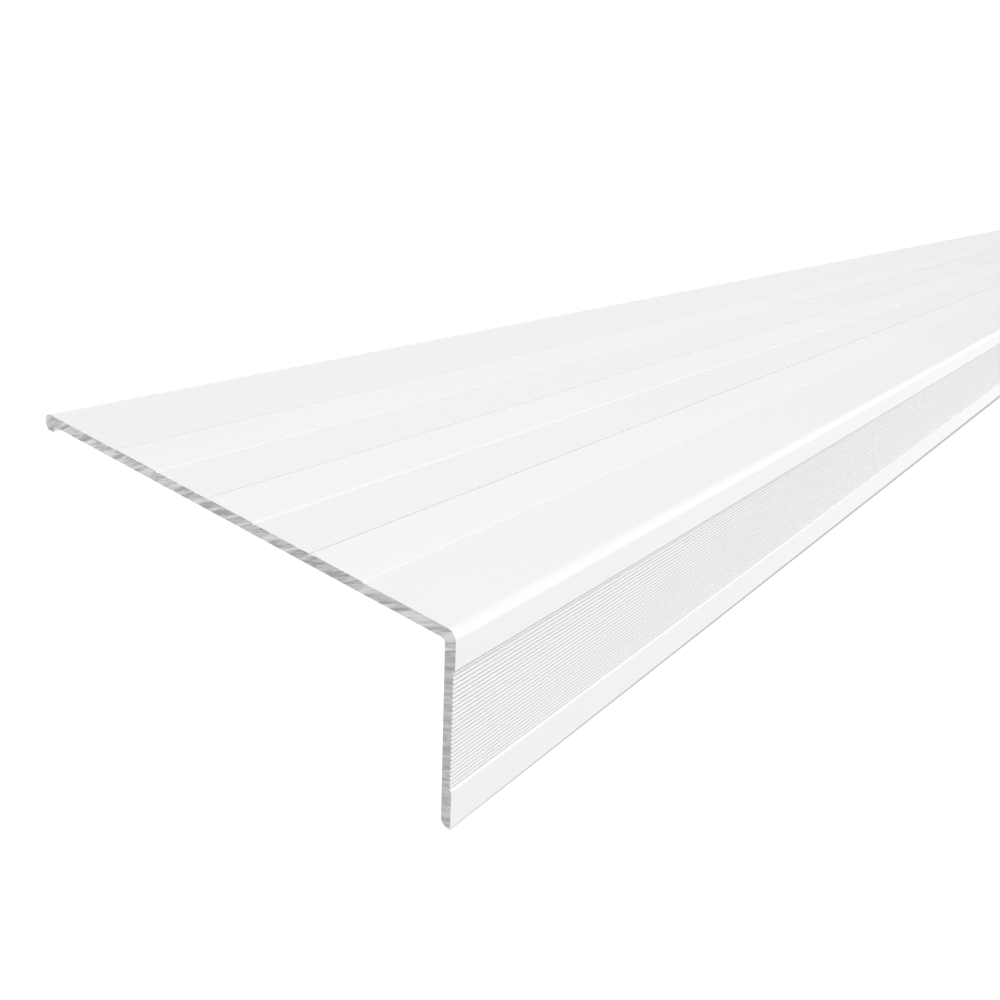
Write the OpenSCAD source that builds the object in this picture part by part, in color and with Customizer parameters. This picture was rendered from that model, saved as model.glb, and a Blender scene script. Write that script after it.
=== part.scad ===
// Stair nosing: one length of extruded aluminium angle, coated white and sawn square at both ends.
// The section is drawn with u running back from the riser face and v up from the tread face,
// and the finished length rests as it lies unheld: on the lip at its rear edge and on its toe.

/* [Stock] */
// Length of the sawn piece
length = 1000; // [200:50:3000]
// Depth of the tread leg, from the riser face to the rear edge
tread_depth = 104; // [85:1:140]
// Height of the riser leg, from the tread face down to the toe
riser_height = 40; // [34:1:60]
// Wall thickness of both legs
wall = 2.1; // [1.8:0.1:3]

/* [Edges] */
// Outer radius of the nose
nose_radius = 1.8; // [1:0.1:3]
// Fillet in the inside corner under the nose
inner_fillet = 0.9; // [0.3:0.1:2]
// Radius where the tread's rear edge turns down into the lip
rear_radius = 2.5; // [1.5:0.1:2.7]
// How far the lip hangs below the underside of the tread
lip_drop = 1.4; // [0.8:0.1:3]
// Thickness of the lip
lip_width = 2.7; // [2:0.1:4]
// Radius of the lip's rear edge
lip_rear_radius = 0.6; // [0.3:0.1:1]
// Radius of the lip's front edge
lip_front_radius = 1.2; // [0.3:0.1:1.3]
// Radius of the toe's front edge
toe_front_radius = 0.5; // [0.2:0.1:0.7]
// Radius of the toe's back edge
toe_back_radius = 1.5; // [0.5:0.1:2]

/* [Tread] */
// Number of raised pads along the tread
pad_count = 3; // [1:1:3]
// Width of one raised pad
pad_width = 11.5; // [6:0.5:13]
// Rise of a pad above the tread face
pad_rise = 0.1; // [0.05:0.05:0.5]
// Width of the ribbed band in front of each pad
band_width = 13.8; // [8:0.1:15]
// Plain land between the riser face and the ribbed band nearest the nose
nose_land = 5.1; // [4:0.1:8]
// Width of the square quirk behind each pad
quirk_width = 0.3; // [0.2:0.05:0.5]
// Depth of the quirk below the band behind it
quirk_depth = 0.22; // [0.15:0.01:0.4]
// Depth of the plain rear band below the tread face
rear_drop = 0.15; // [0.05:0.05:0.2]

/* [Riser] */
// Plain band at the top of the riser, measured from the tread face
top_band = 6.9; // [5:0.1:10]
// Plain band at the foot of the riser, measured from the toe
foot_band = 8.5; // [5:0.1:12]
// Depth of the ribbed field behind the plain bands
field_recess = 0.25; // [0.1:0.05:0.4]
// Radius of the rounded shoulder that leads from the field out to the foot band
shoulder_radius = 0.4; // [0.4:0.05:1]

/* [Ribs] */
// Distance from one groove to the next, rounded to fill each ribbed strip
rib_pitch = 0.85; // [0.7:0.05:1.5]
// Width of a groove at the crest of the ribs
groove_width = 0.5; // [0.3:0.05:0.6]
// Plain crest left between a groove and the end of its strip
crest_margin = 0.06; // [0.05:0.01:0.15]
// Depth of the fine grooves between the ribs of the tread
tread_groove = 0.04; // [0.02:0.01:0.2]
// Depth of the groove along the front of each pad
border_groove = 0.25; // [0.1:0.05:0.4]
// Depth of the grooves on the riser
riser_groove = 0.45; // [0.2:0.05:0.5]

/* [Hidden] */
$fn = 96;

// How far a cutting shape reaches past the face that it cuts
overcut = 0.05;

// The toe's two edges share the wall, and the lip's edges and the turn above them share the lip
toe_back = min(toe_back_radius, wall - toe_front_radius);
lip_front = min(lip_front_radius, lip_drop, lip_width - lip_rear_radius);
rear_turn = min(rear_radius, wall - rear_drop + lip_drop - lip_rear_radius);

// Centres of the round edges in the section
lip_foot = -wall - lip_drop;
lip_rear_centre = [tread_depth - lip_rear_radius, lip_foot + lip_rear_radius];
rear_turn_centre = [tread_depth - rear_turn, -rear_drop - rear_turn];
toe_back_centre = [wall - toe_back, toe_back - riser_height];
toe_front_centre = [toe_front_radius, toe_front_radius - riser_height];

// Angle by which the tread drops to the rear when the lip and the toe both lie on the floor
span = lip_rear_centre - toe_back_centre;
rest_angle = atan2(span[1], span[0]) + asin((toe_back - lip_rear_radius) / norm(span));

// Level and depth of a point of the section in the resting piece
function rest_level(p) = p[1] * cos(rest_angle) - p[0] * sin(rest_angle);
function rest_depth(p) = p[0] * cos(rest_angle) + p[1] * sin(rest_angle);
floor_level = rest_level(toe_back_centre) - toe_back;
front_end = rest_depth(toe_front_centre) - toe_front_radius;
rear_end = rest_depth(rear_turn_centre) + rear_turn;

// Waste between a square corner at the origin and the arc that rounds it
module corner_waste(radius) {
    difference() {
        translate([-overcut, -overcut]) square(radius + overcut);
        translate([radius, radius]) circle(radius);
        translate([radius, -2 * overcut]) square(radius + overcut);
        translate([-2 * overcut, radius]) square(radius + overcut);
    }
}

// V groove cut down into a face at v = 0
module groove(depth) {
    reach = min(overcut, depth);
    mouth = groove_width / 2 * (1 + reach / depth);
    polygon([[mouth, reach], [-mouth, reach], [0, -depth]]);
}

// Row of grooves filling a strip from u = 0 to u = width, its last one with a depth of its own
module groove_row(width, depth, last) {
    margin = groove_width / 2 + crest_margin;
    steps = round((width - 2 * margin) / rib_pitch);
    pitch = (width - 2 * margin) / steps;
    for (i = [0 : steps])
        translate([margin + i * pitch, 0])
            groove(i == steps ? last : depth);
}

// Start of the ribbed band that lies in front of a pad, counted from the nose
function band_start(i) = nose_land + i * (band_width + pad_width);

// The rear band starts behind the last pad, and each pad's front flank has the slope of the groove before it
rear_start = band_start(pad_count);
pad_flank = pad_rise * groove_width / 2 / border_groove;

// Height of the shoulder's arc, which ends where it meets the sunk field
shoulder_height = sqrt(pow(shoulder_radius, 2) - pow(shoulder_radius - field_recess, 2));

// Plain angle with its rear lip and the fillet under its nose
module angle_section() {
    translate([0, -wall]) square([rear_start, wall]);
    translate([0, -wall]) square([tread_depth, wall - rear_drop]);
    translate([tread_depth - lip_width, lip_foot]) square([lip_width, lip_drop + wall / 2]);
    translate([0, -riser_height]) square([wall, riser_height]);
    translate([wall, -wall])
        difference() {
            translate([-overcut, -inner_fillet]) square([inner_fillet + overcut, inner_fillet + overcut]);
            translate([inner_fillet, -inner_fillet]) circle(inner_fillet);
        }
}

// Raised pads on the tread, each behind its ribbed band
module pads() {
    for (i = [0 : pad_count - 1])
        translate([band_start(i) + band_width, 0])
            polygon([
                [0, -wall / 2],
                [pad_width, -wall / 2],
                [pad_width, pad_rise],
                [pad_flank, pad_rise],
                [0, 0]
            ]);
}

// Ribbed bands on the tread, each between the quirk behind the pad before it and the pad that follows
module tread_bands() {
    for (i = [0 : pad_count]) {
        inset = i == 0 ? 0 : quirk_width;
        depth = i == pad_count ? rear_drop + quirk_depth : quirk_depth;
        translate([band_start(i), 0]) {
            if (i > 0) translate([0, -depth]) square([quirk_width, depth + overcut]);
            if (i < pad_count) translate([inset, 0]) groove_row(band_width - inset, tread_groove, border_groove);
        }
    }
}

// Ribbed field sunk into the riser face, with a square upper step and a rounded lower shoulder
module riser_field() {
    field_height = riser_height - top_band - foot_band;
    translate([0, -top_band]) {
        difference() {
            translate([-overcut, -field_height]) square([field_recess + overcut, field_height]);
            translate([shoulder_radius, -field_height]) circle(shoulder_radius);
        }
        translate([field_recess, 0])
            rotate(-90)
                mirror([0, 1]) groove_row(field_height - shoulder_height, riser_groove, riser_groove);
    }
}

// Whole section of the extrusion
module section() {
    difference() {
        union() {
            angle_section();
            pads();
        }
        mirror([0, 1]) corner_waste(nose_radius);
        translate([0, -riser_height]) corner_waste(toe_front_radius);
        translate([wall, -riser_height]) mirror([1, 0]) corner_waste(toe_back);
        translate([tread_depth, -rear_drop]) rotate(180) corner_waste(rear_turn);
        translate([tread_depth, lip_foot]) mirror([1, 0]) corner_waste(lip_rear_radius);
        translate([tread_depth - lip_width, lip_foot]) corner_waste(lip_front);
        tread_bands();
        riser_field();
    }
}

module nosing() {
    color("white")
        translate([0, -(front_end + rear_end) / 2, -floor_level])
            rotate([-rest_angle, 0, 0])
                rotate([90, 0, 90])
                    linear_extrude(height = length, center = true) section();
}

nosing();
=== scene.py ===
"""Stair nosing: one sawn length of white coated aluminium angle, laid on a light table."""

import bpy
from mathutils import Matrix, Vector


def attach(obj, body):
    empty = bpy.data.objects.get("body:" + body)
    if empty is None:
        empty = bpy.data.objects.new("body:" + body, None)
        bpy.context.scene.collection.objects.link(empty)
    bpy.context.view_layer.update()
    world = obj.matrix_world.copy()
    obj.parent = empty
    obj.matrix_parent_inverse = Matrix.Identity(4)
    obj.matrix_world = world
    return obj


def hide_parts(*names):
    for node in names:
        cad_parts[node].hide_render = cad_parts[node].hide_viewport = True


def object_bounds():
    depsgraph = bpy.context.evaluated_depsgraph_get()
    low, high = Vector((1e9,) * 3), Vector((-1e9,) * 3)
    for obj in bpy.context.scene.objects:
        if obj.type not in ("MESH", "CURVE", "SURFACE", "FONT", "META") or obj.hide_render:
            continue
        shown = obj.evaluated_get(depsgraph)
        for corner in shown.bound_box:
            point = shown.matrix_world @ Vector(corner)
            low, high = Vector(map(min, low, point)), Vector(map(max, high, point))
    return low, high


bl_info = {
    "name": "Stair nosing",
    "version": (1, 0, 0),
    "blender": (4, 5, 0),
    "location": "View3D > Sidebar > Nosing",
    "description": "Models one sawn length of white stair nosing and sets its studio",
    "category": "Object",
}

import math

import bmesh
import bpy
from bpy.props import FloatProperty, FloatVectorProperty, IntProperty, PointerProperty
from mathutils import Matrix, Vector

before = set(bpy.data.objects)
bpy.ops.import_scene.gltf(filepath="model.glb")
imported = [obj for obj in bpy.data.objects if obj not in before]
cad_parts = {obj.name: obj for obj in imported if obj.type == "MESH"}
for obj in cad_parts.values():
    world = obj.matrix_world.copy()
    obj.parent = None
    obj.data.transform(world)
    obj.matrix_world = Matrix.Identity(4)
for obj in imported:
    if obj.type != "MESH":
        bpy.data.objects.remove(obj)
CAD_LOW, CAD_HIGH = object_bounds()

MM = 0.001
NODE = "nosing"
BODY = "root"
BLACK = (0, 0, 0, 1)
WHITE = (1, 1, 1, 1)

# Side of the light table in metres, and how close two points are to count as one
TABLE_SPAN = 60
SAME_PLACE = MM / 1000

# Faces that look this much along the piece are sawn ends, and edges below this angle are shaded smooth
END_FACING = 0.9
SMOOTH_ANGLE = math.radians(40)

# Steps of the arcs that round the section's corners
FAINT_STEPS = 2
SLIGHT_STEPS = 3
SOFT_STEPS = 5
TOE_FRONT_STEPS = 10
SHOULDER_STEPS = 12
LIP_REAR_STEPS = 12
INNER_FILLET_STEPS = 14
LIP_FRONT_STEPS = 16
TOE_BACK_STEPS = 20
REAR_STEPS = 30
NOSE_STEPS = 40

# Patterns of the coat, in noise cells per metre along the length, depth and height
CLOUD_SCALE = (9, 9, 9)
DIE_LINE_SCALE = (4, 900, 900)
PEEL_SCALE = (2500, 2500, 2500)
NOISE_MIDDLE = 0.5

# How strongly the patterns change the coat's tone, roughness and surface
CLOUD_TONE = 0.5
DIE_LINE_TONE = 0.35
CLOUD_ROUGHNESS = 0.08
PEEL_STRENGTH = 0.02
PEEL_DEPTH = 0.02 * MM

# Saw marks, in noise cells per metre along the length, along the marks and across them
STROKE_SCALE = (1, 160, 1600)
SCRATCH_SCALE = (1, 300, 4000)

# How strongly strokes and scratches show, the level taken off them, and how much darker the riser's end is
STROKE_SHARE = 3
SCRATCH_SHARE = 1.4
MARK_LEVEL = 1.7
RISER_DIM = 0.4

# Roughness of the cut metal, how much smoother it is where it is bright, and its relief
METAL_ROUGHNESS = 0.45
BRIGHT_SMOOTHNESS = 0.1
MARK_STRENGTH = 0.3
MARK_DEPTH = 0.1 * MM

# Width of the camera's sensor in millimetres, and the nearest distance that it sees in metres
SENSOR_WIDTH = 36
CLIP_START = 0.005


def length(label, description, millimetres):
    """A length property, given in millimetres and kept in metres."""
    return FloatProperty(
        name=label,
        description=description,
        default=millimetres * MM,
        min=0.0,
        precision=6,
        unit="LENGTH",
    )


def number(label, description, value):
    """A property with no unit."""
    return FloatProperty(name=label, description=description, default=value)


def angle(label, description, degrees):
    """An angle property, given in degrees and kept in radians."""
    return FloatProperty(name=label, description=description, default=math.radians(degrees), subtype="ANGLE")


def power(label, description, watts):
    """The power of a lamp."""
    return FloatProperty(name=label, description=description, default=watts, unit="POWER")


def paint(label, description, colour):
    """A colour property."""
    return FloatVectorProperty(name=label, description=description, default=colour, subtype="COLOR")


class NosingSection(bpy.types.PropertyGroup):
    """Sizes of the section. Depth is counted from the riser face and height from the tread face."""

    tread_depth: length("Tread depth", "From the riser face to the rear edge", 104)
    riser_height: length("Riser height", "From the tread face down to the toe", 40)
    wall: length("Wall", "Thickness of both legs", 2.1)
    nose_radius: length("Nose radius", "Outer radius of the nose", 1.8)
    inner_fillet: length("Inner fillet", "Radius inside the corner under the nose", 0.9)
    rear_radius: length("Rear radius", "Radius where the rear edge turns down into the lip", 2.5)
    lip_drop: length("Lip drop", "How far the rear lip hangs below the underside", 1.4)
    lip_width: length("Lip width", "Thickness of the rear lip", 2.7)
    lip_rear_radius: length("Lip rear", "Radius of the lip's rear edge", 0.6)
    lip_front_radius: length("Lip front", "Radius of the lip's front edge", 1.2)
    toe_front_radius: length("Toe front", "Radius of the toe's front edge", 0.5)
    toe_back_radius: length("Toe back", "Radius of the toe's back edge", 1.5)
    pad_count: IntProperty(name="Pads", description="Raised pads on the tread", default=3, min=1)
    pad_width: length("Pad width", "Width of one raised pad", 11.5)
    pad_rise: length("Pad rise", "Height of a pad above the tread face", 0.1)
    band_width: length("Band width", "Width of the ribbed band in front of each pad", 13.8)
    nose_land: length("Nose land", "Plain strip between the riser face and the first ribs", 5.1)
    quirk_width: length("Quirk width", "Width of the square quirk behind each pad", 0.3)
    quirk_depth: length("Quirk depth", "Depth of the quirk below the band behind it", 0.22)
    rear_drop: length("Rear drop", "Depth of the plain rear band below the tread face", 0.15)
    top_band: length("Top band", "Plain band at the top of the riser", 6.9)
    foot_band: length("Foot band", "Plain band at the foot of the riser", 8.5)
    field_recess: length("Field recess", "Depth of the ribbed field behind the riser face", 0.25)
    shoulder_radius: length("Shoulder", "Radius of the shoulder below the ribbed field", 0.4)
    rib_pitch: length("Rib pitch", "Distance from groove to groove", 0.85)
    groove_width: length("Groove width", "Width of a groove at the crest", 0.5)
    crest_margin: length("Crest margin", "Crest left between a groove and the end of its strip", 0.06)
    tread_groove: length("Tread groove", "Depth of the grooves between the tread's ribs", 0.04)
    tread_fill: length("Tread fill", "How far the coat fills the grooves of the tread", 0.014)
    rear_fill: length("Rear fill", "How far the coat levels the rear band", 0.15)
    border_groove: length("Border groove", "Depth of the groove along the front of each pad", 0.25)
    riser_groove: length("Riser groove", "Depth of the grooves on the riser", 0.45)
    tread_softness: length("Tread softness", "How far the coat rounds the tread's ribs", 0.12)
    riser_softness: length("Riser softness", "How far the coat rounds the riser's ribs", 0.06)
    groove_softness: length("Groove softness", "How far the coat fills the grooves", 0.025)
    edge_softness: length("Edge softness", "How far the coat rounds the edges of pads and steps", 0.12)
    bay_length: length("Bay length", "Length of one stretch of faces along the piece", 50)

    def lip_foot(self):
        """Height of the lip's lower face."""
        return -self.wall - self.lip_drop

    def lip_rear_centre(self):
        """Centre of the lip's rounded rear edge."""
        radius = self.lip_rear_radius
        return Vector((self.tread_depth - radius, self.lip_foot() + radius))

    def toe_back_centre(self):
        """Centre of the toe's rounded back edge."""
        radius = self.toe_back_radius
        return Vector((self.wall - radius, radius - self.riser_height))

    def band_start(self, index):
        """Depth where a ribbed band starts, counted from the nose."""
        return self.nose_land + index * (self.band_width + self.pad_width)

    def pad_flank(self):
        """Depth of a pad's front flank, which has the slope of the groove before it."""
        return self.pad_rise * self.groove_width / 2 / self.border_groove

    def shoulder_height(self):
        """Height of the shoulder's arc, which ends where it meets the sunk field."""
        radius = self.shoulder_radius
        return math.sqrt(radius ** 2 - (radius - self.field_recess) ** 2)

    def rest_angle(self):
        """Angle by which the tread drops to the rear when the lip and the toe lie on the floor."""
        span = self.lip_rear_centre() - self.toe_back_centre()
        lean = (self.toe_back_radius - self.lip_rear_radius) / span.length
        return math.atan2(span.y, span.x) + math.asin(lean)

    def rest_matrix(self):
        """Turn and shift that lay the upright section on the floor, centred over the origin."""
        turn = Matrix.Rotation(-self.rest_angle(), 4, "X")
        toe = turn @ Vector((0, *self.toe_back_centre()))
        rear_radius = self.rear_radius
        rear = turn @ Vector((0, self.tread_depth - rear_radius, -self.rear_drop - rear_radius))
        front_radius = self.toe_front_radius
        front = turn @ Vector((0, front_radius, front_radius - self.riser_height))
        middle = (front.y - front_radius + rear.y + rear_radius) / 2
        return Matrix.Translation((0, -middle, self.toe_back_radius - toe.z)) @ turn


class NosingFinish(bpy.types.PropertyGroup):
    """Colours and finish of the coat and of the sawn ends."""

    coat_colour: paint("Coat", "Colour of the powder coat", (0.75, 0.747, 0.764))
    coat_roughness: number("Coat roughness", "Roughness of the coat", 0.14)
    field_roughness: number("Field roughness", "Roughness of the riser's ribbed field", 0.45)
    # Painted shade: how much the coat is darkened down in the riser's grooves
    painted_groove_shade: number("Groove shade", "How much darker the coat is down in the riser's grooves", 0.1)
    # Painted light: how much lighter the smooth pads are painted than the rest of the coat
    pad_painted_light: number("Pad lift", "How much lighter the smooth pads look", 0.026)
    metal_dark: paint("Saw mark", "Darkest saw mark on the cut ends", (0.35, 0.35, 0.356))
    metal_light: paint("Cut metal", "Brightest metal on the cut ends", (0.63, 0.63, 0.634))
    saw_angle: angle("Saw angle", "Slope of the saw marks", 26)


class NosingStudio(bpy.types.PropertyGroup):
    """Camera, light and floor."""

    camera_place: FloatVectorProperty(
        name="Camera",
        description="Where the camera stands",
        unit="LENGTH",
        default=(-0.577549, -0.084491, 0.127234),
    )
    camera_turn: FloatVectorProperty(
        name="Camera turn",
        description="How the camera is turned",
        subtype="EULER",
        default=tuple(math.radians(a) for a in (43.56277, -24.50642, -53.43433)),
    )
    lens: number("Lens", "Focal length on the camera's sensor, in millimetres", 31.096)
    shift_x: number("Shift across", "Sideways shift of the frame", -0.1394)
    shift_y: number("Shift up", "Upward shift of the frame", 0.1611)
    ring_glow: number("Ring glow", "Brightness of the ring of light at eye level", 1.03)
    ring_top: number("Ring top", "Height where the ring of light ends, 1 overhead", 0.8)
    ring_front: number("Ring front", "How much brighter the ring is in front than at the sides", 0.12)
    top_glow: number("Top glow", "Brightness of the surroundings overhead", 0.84)
    table_glow: number("Table glow", "Brightness of the light table", 1.081)
    contact_reach: length("Contact reach", "Width of the line of shade at the near end of the toe", 0.1)
    contact_growth: number("Contact growth", "How fast the line of shade widens along the toe", 0.0027)
    contact_shade: number("Contact shade", "Brightness left in the line of shade", 0.45)
    softbox_power: power("Softbox power", "Power of the softbox", 3.77)
    softbox_size: length("Softbox size", "Side of the square softbox over the near end", 400)
    softbox_height: length("Softbox height", "From the near end up to the softbox", 800)
    softbox_front: length("Softbox front", "How far the softbox hangs in front of the middle", 20)
    strip_power: power("Strip power", "Power of the strip light", 10.5)
    strip_length: length("Strip length", "Length of each strip light along the piece", 15000)
    strip_width: length("Strip width", "Width of the strip light", 34)
    strip_distance: length("Strip distance", "From the piece to each strip light", 1300)
    strip_offset: length("Strip offset", "How far the upper strip lights are centred past the middle", 5000)
    strip_tilt: angle("Strip tilt", "Angle of the strip light in front of upright", 31)
    overhead_power: power("Overhead power", "Power of the strip light overhead", 6.0)
    overhead_width: length("Overhead width", "Width of the strip light overhead", 80)
    overhead_tilt: angle("Overhead tilt", "Angle of the overhead strip light in front of upright", 9)
    front_power: power("Front power", "Power of the wide strip light low in front", 44.0)
    front_offset: length("Front offset", "How far the low strip light is centred past the middle", 7500)
    front_width: length("Front width", "Width of the strip light low in front", 1000)
    front_tilt: angle("Front tilt", "Angle of the low strip light in front of upright", 65)


class SectionPen:
    """Draws a wire outline in edit mode, with depth along Y and height along Z."""

    def __init__(self, name, x, start):
        bpy.ops.object.select_all(action="DESELECT")
        bpy.ops.mesh.primitive_plane_add(size=MM)
        self.piece = bpy.context.object
        self.piece.name = name
        self.piece.data.name = name
        self.x = x
        self.place = Vector(start)
        bpy.ops.object.mode_set(mode="EDIT")
        bpy.ops.mesh.merge(type="CENTER")
        bpy.ops.transform.translate(value=(x, *self.place))

    def line_to(self, depth, height):
        """Extrudes the last vertex to a new place."""
        step = Vector((depth, height)) - self.place
        bpy.ops.mesh.extrude_vertices_move(TRANSFORM_OT_translate={"value": (0, *step)})
        self.place = Vector((depth, height))

    def shift_by(self, depth, height):
        """Extrudes the last vertex by a step."""
        self.line_to(self.place.x + depth, self.place.y + height)

    def arc_to(self, centre, depth, height, steps):
        """Spins the last vertex about a centre to a new place, clockwise as seen from the near end."""
        before = self.place - centre
        after = Vector((depth, height)) - centre
        turn = math.atan2(before.y, before.x) - math.atan2(after.y, after.x)
        turn %= 2 * math.pi
        bpy.ops.mesh.spin(steps=steps, angle=turn, center=(self.x, *centre), axis=(1, 0, 0))
        self.place = Vector((depth, height))

    def close(self):
        """Joins the outline's two ends and fills it."""
        bpy.ops.mesh.select_all(action="SELECT")
        bpy.ops.mesh.remove_doubles(threshold=SAME_PLACE)
        bpy.ops.mesh.edge_face_add()


def draw_grooves(pen, width, along, inward, sizes, depth, last):
    """Draws a row of V grooves, the last one with its own depth, and returns their lips and bottoms."""
    half = sizes.groove_width / 2
    margin = half + sizes.crest_margin
    steps = round((width - 2 * margin) / sizes.rib_pitch)
    pitch = (width - 2 * margin) / steps
    start = pen.place.copy()
    lips, bottoms = [], []
    for index in range(steps + 1):
        middle = start + along * (margin + index * pitch)
        bottom = middle + inward * (last if index == steps else depth)
        lips += [middle - along * half, middle + along * half]
        bottoms.append(bottom)
        for point in (lips[-2], bottom, lips[-1]):
            pen.line_to(*point)
    pen.line_to(*(start + along * width))
    return lips, bottoms


def draw_section(sizes, x):
    """Draws the section with square corners and returns its pen and the rounds that its corners get."""
    up, down = Vector((0, 1)), Vector((0, -1))
    back = Vector((1, 0))
    rounds = []
    toe = -sizes.riser_height
    soft = sizes.edge_softness
    faint = sizes.groove_softness

    pen = SectionPen(NODE + "_finished", x, (0, toe))
    rounds.append((pen.place.copy(), sizes.toe_front_radius, TOE_FRONT_STEPS))
    foot = toe + sizes.foot_band
    shoulder = sizes.shoulder_radius
    pen.line_to(0, foot)
    top = foot + sizes.shoulder_height()
    pen.arc_to(Vector((shoulder, foot)), sizes.field_recess, top, SHOULDER_STEPS)

    field = -sizes.top_band - pen.place.y
    lips, bottoms = draw_grooves(pen, field, up, back, sizes, sizes.riser_groove, sizes.riser_groove)
    rounds += [(lip, sizes.riser_softness, SOFT_STEPS) for lip in lips[1:-1]]
    rounds += [(corner, faint, FAINT_STEPS) for corner in [lips[0], lips[-1], *bottoms]]
    pen.line_to(0, -sizes.top_band)
    rounds.append((pen.place.copy(), soft / 2, SLIGHT_STEPS))
    pen.line_to(0, 0)
    rounds.append((pen.place.copy(), sizes.nose_radius, NOSE_STEPS))
    pen.line_to(sizes.nose_land, 0)

    ribs = sizes.tread_groove - sizes.tread_fill
    rear = sizes.rear_fill - sizes.rear_drop
    for index in range(sizes.pad_count):
        band = sizes.band_start(index) + sizes.band_width - pen.place.x
        lips, bottoms = draw_grooves(pen, band, back, down, sizes, ribs, sizes.border_groove)
        inner = [*lips[1:-2], *bottoms[1:-1]]
        outer = [lips[0], *lips[-2:], bottoms[0], bottoms[-1]]
        rounds += [(corner, sizes.tread_softness, SLIGHT_STEPS) for corner in inner]
        rounds += [(corner, faint, FAINT_STEPS) for corner in outer]
        pen.shift_by(sizes.pad_flank(), sizes.pad_rise)
        rounds.append((pen.place.copy(), soft, SOFT_STEPS))
        pen.shift_by(sizes.pad_width - sizes.pad_flank(), 0)
        rounds.append((pen.place.copy(), soft / 2, SLIGHT_STEPS))
        behind = rear if index == sizes.pad_count - 1 else 0
        pen.line_to(pen.place.x, behind - sizes.quirk_depth)
        pen.shift_by(sizes.quirk_width, 0)
        pen.line_to(pen.place.x, behind)
        rounds.append((pen.place.copy(), faint, FAINT_STEPS))
    pen.line_to(sizes.tread_depth, rear)
    rounds.append((pen.place.copy(), sizes.rear_radius, REAR_STEPS))
    pen.line_to(sizes.tread_depth, sizes.lip_foot())
    rounds.append((pen.place.copy(), sizes.lip_rear_radius, LIP_REAR_STEPS))
    pen.shift_by(-sizes.lip_width, 0)
    rounds.append((pen.place.copy(), sizes.lip_front_radius, LIP_FRONT_STEPS))
    pen.shift_by(0, sizes.lip_drop)
    pen.line_to(sizes.wall, -sizes.wall)
    rounds.append((pen.place.copy(), sizes.inner_fillet, INNER_FILLET_STEPS))
    pen.line_to(sizes.wall, toe)
    rounds.append((pen.place.copy(), sizes.toe_back_radius, TOE_BACK_STEPS))
    pen.line_to(0, toe)
    pen.close()
    return pen, rounds


def round_corners(pen, rounds):
    """Bevels the outline's corners, one radius at a time."""
    groups = {}
    for place, radius, segments in rounds:
        groups.setdefault((radius, segments), []).append(place)
    for (radius, segments), places in groups.items():
        bpy.ops.mesh.select_all(action="DESELECT")
        mesh = bmesh.from_edit_mesh(pen.piece.data)
        for place in places:
            spot = Vector((pen.x, *place))
            corner = min(mesh.verts, key=lambda vertex: (vertex.co - spot).length)
            if (corner.co - spot).length > SAME_PLACE:
                raise RuntimeError(f"no corner at {place}")
            corner.select = True
        mesh.select_flush_mode()
        bmesh.update_edit_mesh(pen.piece.data)
        bpy.ops.mesh.bevel(
            offset_type="OFFSET", offset=radius, segments=segments, profile=0.5, affect="VERTICES"
        )


def extrude_bays(pen, total, bay):
    """Extrudes the filled section along the length in even bays and closes both ends."""
    count = round(total / bay)
    bpy.ops.mesh.select_all(action="SELECT")
    for _ in range(count):
        bpy.ops.mesh.extrude_region_move(TRANSFORM_OT_translate={"value": (total / count, 0, 0)})
    bpy.ops.mesh.select_all(action="SELECT")
    bpy.ops.mesh.normals_make_consistent(inside=False)


class Wire:
    """One value in a shader, whose arithmetic adds Math nodes to its tree."""

    def __init__(self, tree, socket):
        self.tree = tree
        self.socket = socket

    def math(self, operation, *values):
        """Adds a Math node and returns its value."""
        made = self.tree.nodes.new("ShaderNodeMath")
        made.operation = operation
        for socket, value in zip(made.inputs, values):
            plug(self.tree, socket, value)
        return Wire(self.tree, made.outputs[0])

    def __add__(self, other):
        return self.math("ADD", self, other)

    def __radd__(self, other):
        return self.math("ADD", other, self)

    def __sub__(self, other):
        return self.math("SUBTRACT", self, other)

    def __rsub__(self, other):
        return self.math("SUBTRACT", other, self)

    def __mul__(self, other):
        return self.math("MULTIPLY", self, other)

    def __rmul__(self, other):
        return self.math("MULTIPLY", other, self)

    def __truediv__(self, other):
        return self.math("DIVIDE", self, other)

    def __rtruediv__(self, other):
        return self.math("DIVIDE", other, self)

    def __gt__(self, other):
        return self.math("GREATER_THAN", self, other)

    def __lt__(self, other):
        return self.math("LESS_THAN", self, other)

    def __abs__(self):
        return self.math("ABSOLUTE", self)


def plug(tree, socket, value):
    """Links a wire into a socket, or sets the socket's own value."""
    if isinstance(value, Wire):
        tree.links.new(value.socket, socket)
    else:
        socket.default_value = value


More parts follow.
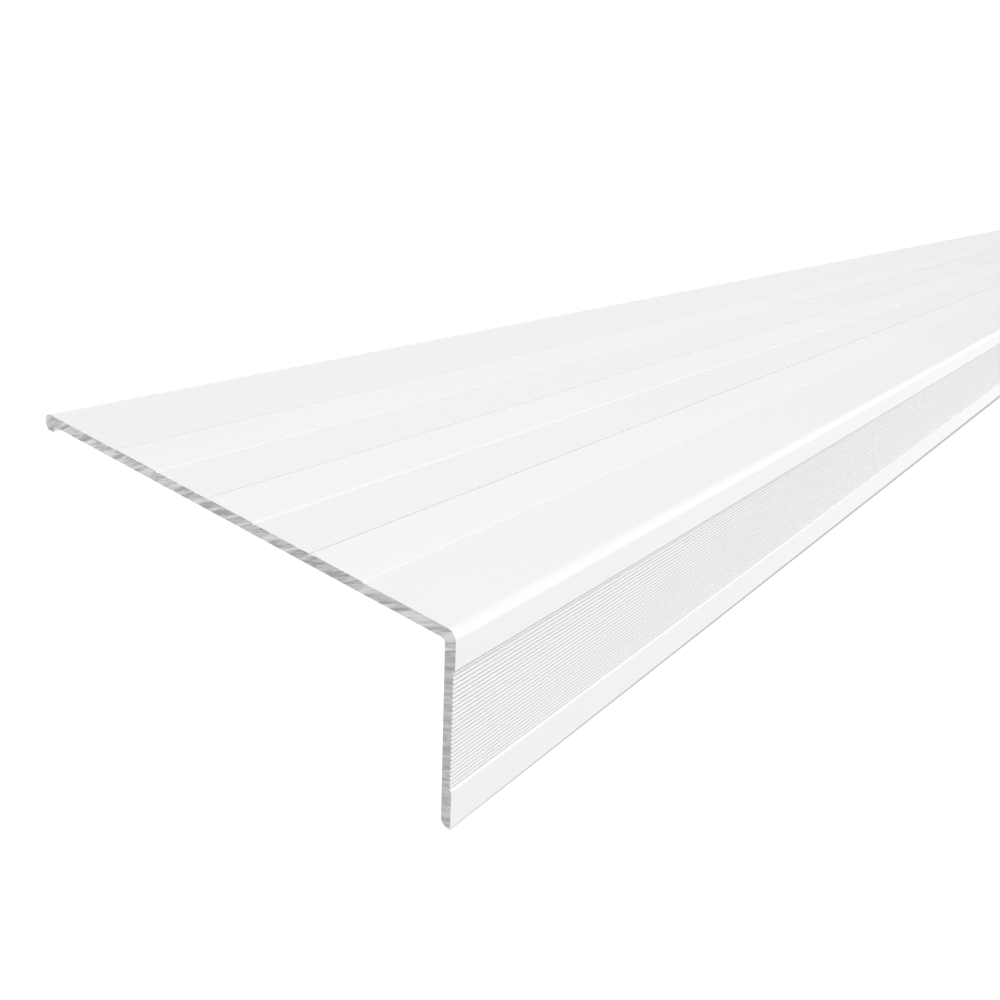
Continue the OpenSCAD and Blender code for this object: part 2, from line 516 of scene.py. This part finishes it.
class Shader:
    """A shader tree and the one method that adds its nodes."""

    def __init__(self, tree, last):
        self.tree = tree
        self.last = tree.nodes[last]

    def add(self, kind, settings, inputs, output=0):
        """Adds a node, sets it up, fills its sockets and returns one of its outputs."""
        made = self.tree.nodes.new("ShaderNode" + kind)
        for name, value in settings.items():
            setattr(made, name, value)
        for name, value in inputs.items():
            plug(self.tree, made.inputs[name], value)
        return Wire(self.tree, made.outputs[output])

    def end(self, **inputs):
        """Fills sockets of the last shader, whose names are written with underscores."""
        for name, value in inputs.items():
            plug(self.tree, self.last.inputs[name.replace("_", " ")], value)

    def mix(self, factor, first, second):
        """A colour between two colours, or beyond the second one where the factor is over 1."""
        settings = {"data_type": "RGBA", "clamp_factor": False}
        return self.add("Mix", settings, {0: factor, 6: first, 7: second}, 2)

    def part(self, vector, axis):
        """One part of a vector, named X, Y or Z."""
        return self.add("SeparateXYZ", {}, {"Vector": vector}, axis)

    def mapped(self, vector, **changes):
        """A vector that is scaled, then turned, then shifted."""
        return self.add("Mapping", {"vector_type": "POINT"}, {"Vector": vector, **changes})

    def noise(self, vector, detail, scale):
        """Fractal noise from 0 to 1, with its own scale along each axis."""
        scaled = self.mapped(vector, Scale=scale)
        return self.add("TexNoise", {}, {"Vector": scaled, "Scale": 1, "Detail": detail})

    def upright(self, sizes):
        """Object coordinates turned back to the upright section: length, depth and height."""
        place = self.add("TexCoord", {}, {}, "Object")
        back = sizes.rest_matrix().inverted()
        return self.mapped(place, Rotation=back.to_euler(), Location=back.to_translation())


def finish(name):
    """A new material and its shader."""
    material = bpy.data.materials.new(name)
    material.use_nodes = True
    return material, Shader(material.node_tree, "Principled BSDF")


def tinted(colour, factor):
    """A colour scaled by a factor, with full alpha."""
    return (*(c * factor for c in colour), 1.0)


def white_coat(sizes, looks):
    """Satin white coat with orange peel, faint die lines and a duller ribbed field, with painted light on
    the pads and painted shade down in the riser's grooves.
    """
    material, coat = finish("white_powder_coat")
    place = coat.upright(sizes)
    depth = coat.part(place, "Y")
    height = coat.part(place, "Z")

    # Painted light: the smooth pads on the tread are painted lighter than the ribbed bands
    pads = 0
    for index in range(sizes.pad_count):
        middle = sizes.band_start(index) + sizes.band_width + sizes.pad_width / 2
        pads = pads + (abs(depth - middle) < sizes.pad_width / 2)
    pads = pads * (height > -sizes.wall / 2)

    clouds = coat.noise(place, detail=2, scale=CLOUD_SCALE) - NOISE_MIDDLE
    die_lines = coat.noise(place, detail=2, scale=DIE_LINE_SCALE) - NOISE_MIDDLE
    # The tone joins the painted light on the pads with the coat's own clouds and die lines
    tone = pads + clouds * CLOUD_TONE + die_lines * DIE_LINE_TONE
    plain = tinted(looks.coat_colour, 1)
    colour = coat.mix(tone, plain, tinted(looks.coat_colour, 1 + looks.pad_painted_light))
    # The riser's ribbed field gets painted shade down in its grooves, darker the deeper it lies, and a
    # duller roughness
    field = (height < -sizes.top_band) * (height > sizes.foot_band - sizes.riser_height)
    field = field * (depth < sizes.wall / 2)
    grooves = coat.add("Clamp", {}, {"Value": (depth - sizes.field_recess) / sizes.riser_groove})
    colour = coat.mix(field * grooves * looks.painted_groove_shade, colour, BLACK)
    dull = field * (looks.field_roughness - looks.coat_roughness)
    peel = coat.noise(place, detail=1, scale=PEEL_SCALE)
    relief = {"Strength": PEEL_STRENGTH, "Distance": PEEL_DEPTH, "Height": peel}
    coat.end(
        Base_Color=colour,
        Roughness=clouds * CLOUD_ROUGHNESS + looks.coat_roughness + dull,
        Normal=coat.add("Bump", {}, relief),
    )
    return material


def sawn_metal(sizes, looks):
    """Bare aluminium at the cut ends, crossed by the marks of the saw."""
    material, metal = finish("sawn_aluminium")
    place = metal.upright(sizes)
    riser = metal.part(place, "Z") < -2 * sizes.wall
    turned = metal.mapped(place, Rotation=(looks.saw_angle, 0, 0))
    strokes = metal.noise(turned, detail=2, scale=STROKE_SCALE)
    scratches = metal.noise(turned, detail=3, scale=SCRATCH_SCALE)
    level = strokes * STROKE_SHARE + scratches * SCRATCH_SHARE - MARK_LEVEL
    marks = metal.add("Clamp", {}, {"Value": level}) * (1 - riser * RISER_DIM)
    relief = {"Strength": MARK_STRENGTH, "Distance": MARK_DEPTH, "Height": marks}
    metal.end(
        Base_Color=metal.mix(marks, tinted(looks.metal_dark, 1), tinted(looks.metal_light, 1)),
        Metallic=1.0,
        Roughness=METAL_ROUGHNESS - marks * BRIGHT_SMOOTHNESS,
        Normal=metal.add("Bump", {}, relief),
    )
    return material


def light_table(studio):
    """White glowing table, with a thin line of shade along the toe that widens to the far end."""
    material, table = finish("light_table")
    place = table.add("TexCoord", {}, {}, "Object")
    along = table.part(place, "X") - CAD_LOW.x
    gap = abs(table.part(place, "Y") - CAD_LOW.y)
    reach = along * studio.contact_growth + studio.contact_reach
    light = table.add("Clamp", {}, {"Value": gap / reach})
    beside = (along > 0) * (along < CAD_HIGH.x - CAD_LOW.x)
    shade = tinted(WHITE[:3], studio.contact_shade)
    table.end(
        Base_Color=BLACK,
        Roughness=1.0,
        Specular_IOR_Level=0.0,
        Emission_Color=table.mix(beside * (1 - light * light), WHITE, shade),
        Emission_Strength=studio.table_glow,
    )
    return material


def white_surroundings(studio):
    """Ring of light around the table, brightest in front, and a softer light overhead."""
    world = bpy.data.worlds.new("white_surroundings")
    world.use_nodes = True
    sky = Shader(world.node_tree, "Background")
    direction = sky.add("TexCoord", {}, {}, "Generated")
    height = sky.part(direction, "Z")
    front = 1 - sky.part(direction, "Y") * studio.ring_front
    fade = sky.add("Clamp", {}, {"Value": 1 - height / studio.ring_top})
    overhead = height * height
    ring = fade * (1 - overhead) * front * studio.ring_glow
    sky.end(Color=sky.mix(ring + overhead * studio.top_glow, BLACK, WHITE), Strength=1.0)
    return world


def hang_strip(studio, name, offset, tilt):
    """Hangs a long strip light along the piece, tilted to the front, and returns its lamp."""
    place = Matrix.Rotation(tilt, 3, "X") @ Vector((offset, 0, studio.strip_distance))
    bpy.ops.object.light_add(type="AREA", location=place, rotation=(tilt, 0, 0))
    strip = bpy.context.object
    strip.name = name
    strip.data.shape = "RECTANGLE"
    strip.data.size = studio.strip_length
    return strip.data


class NOSING_OT_extrusion(bpy.types.Operator):
    """Model the nosing: draw its section, round the corners, extrude it and lay it down"""

    bl_idname = "nosing.extrusion"
    bl_label = "Extrusion"

    def execute(self, context):
        sizes = context.scene.nosing_section
        looks = context.scene.nosing_finish
        total = CAD_HIGH.x - CAD_LOW.x
        pen, rounds = draw_section(sizes, CAD_LOW.x)
        round_corners(pen, rounds)
        extrude_bays(pen, total, sizes.bay_length)
        piece = pen.piece
        piece.data.materials.append(white_coat(sizes, looks))
        piece.data.materials.append(sawn_metal(sizes, looks))
        mesh = bmesh.from_edit_mesh(piece.data)
        for face in mesh.faces:
            face.select = abs(face.normal.x) > END_FACING
        bmesh.update_edit_mesh(piece.data)
        piece.active_material_index = 1
        bpy.ops.object.material_slot_assign()
        bpy.ops.object.mode_set(mode="OBJECT")

        piece.matrix_world = sizes.rest_matrix()
        bpy.ops.object.transform_apply(location=True, rotation=True, scale=True)
        bpy.ops.object.shade_smooth_by_angle(angle=SMOOTH_ANGLE)
        bpy.ops.object.modifier_add(type="WEIGHTED_NORMAL")
        shading = piece.modifiers[-1]
        shading.keep_sharp = True
        bpy.ops.object.modifier_apply(modifier=shading.name)

        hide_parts(NODE)
        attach(piece, BODY)
        return {"FINISHED"}


class NOSING_OT_studio(bpy.types.Operator):
    """Set the light table, the lights, the white surroundings and the camera"""

    bl_idname = "nosing.studio"
    bl_label = "Studio"

    def execute(self, context):
        studio = context.scene.nosing_studio

        bpy.ops.mesh.primitive_plane_add(size=TABLE_SPAN)
        table = context.object
        table.name = "light_table"
        table.data.materials.append(light_table(studio))
        context.scene.world = white_surroundings(studio)

        place = Vector((CAD_LOW.x, -studio.softbox_front, CAD_HIGH.z + studio.softbox_height))
        bpy.ops.object.light_add(type="AREA", location=place)
        softbox = context.object
        softbox.name = "softbox"
        softbox.data.energy = studio.softbox_power
        softbox.data.size = studio.softbox_size

        strip = hang_strip(studio, "strip_light", studio.strip_offset, studio.strip_tilt)
        strip.energy = studio.strip_power
        strip.size_y = studio.strip_width
        overhead = hang_strip(studio, "overhead_strip", studio.strip_offset, studio.overhead_tilt)
        overhead.energy = studio.overhead_power
        overhead.size_y = studio.overhead_width
        front = hang_strip(studio, "front_strip", studio.front_offset, studio.front_tilt)
        front.energy = studio.front_power
        front.size_y = studio.front_width

        bpy.ops.object.camera_add(location=studio.camera_place, rotation=studio.camera_turn)
        camera = context.object
        camera.name = "camera"
        camera.data.sensor_width = SENSOR_WIDTH
        camera.data.lens = studio.lens
        camera.data.shift_x = studio.shift_x
        camera.data.shift_y = studio.shift_y
        camera.data.clip_start = CLIP_START
        context.scene.camera = camera
        context.scene.view_settings.view_transform = "Standard"
        return {"FINISHED"}


class NOSING_PT_sidebar(bpy.types.Panel):
    """Lists the sizes, the finish and the steps"""

    bl_idname = "NOSING_PT_sidebar"
    bl_label = "Stair nosing"
    bl_space_type = "VIEW_3D"
    bl_region_type = "UI"
    bl_category = "Nosing"

    def draw(self, context):
        scene = context.scene
        for group in (scene.nosing_section, scene.nosing_finish, scene.nosing_studio):
            box = self.layout.box()
            for name in group.__annotations__:
                box.prop(group, name)
        self.layout.operator(NOSING_OT_extrusion.bl_idname)
        self.layout.operator(NOSING_OT_studio.bl_idname)


CLASSES = (
    NosingSection,
    NosingFinish,
    NosingStudio,
    NOSING_OT_extrusion,
    NOSING_OT_studio,
    NOSING_PT_sidebar,
)


def register():
    """Registers the classes and gives the scene its three groups of properties."""
    for cls in CLASSES:
        bpy.utils.register_class(cls)
    bpy.types.Scene.nosing_section = PointerProperty(type=NosingSection)
    bpy.types.Scene.nosing_finish = PointerProperty(type=NosingFinish)
    bpy.types.Scene.nosing_studio = PointerProperty(type=NosingStudio)


def unregister():
    """Takes the properties and the classes away again."""
    del bpy.types.Scene.nosing_studio
    del bpy.types.Scene.nosing_finish
    del bpy.types.Scene.nosing_section
    for cls in reversed(CLASSES):
        bpy.utils.unregister_class(cls)


def main():
    """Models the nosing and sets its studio."""
    register()
    bpy.ops.nosing.extrusion()
    bpy.ops.nosing.studio()


if __name__ == "__main__":
    main()
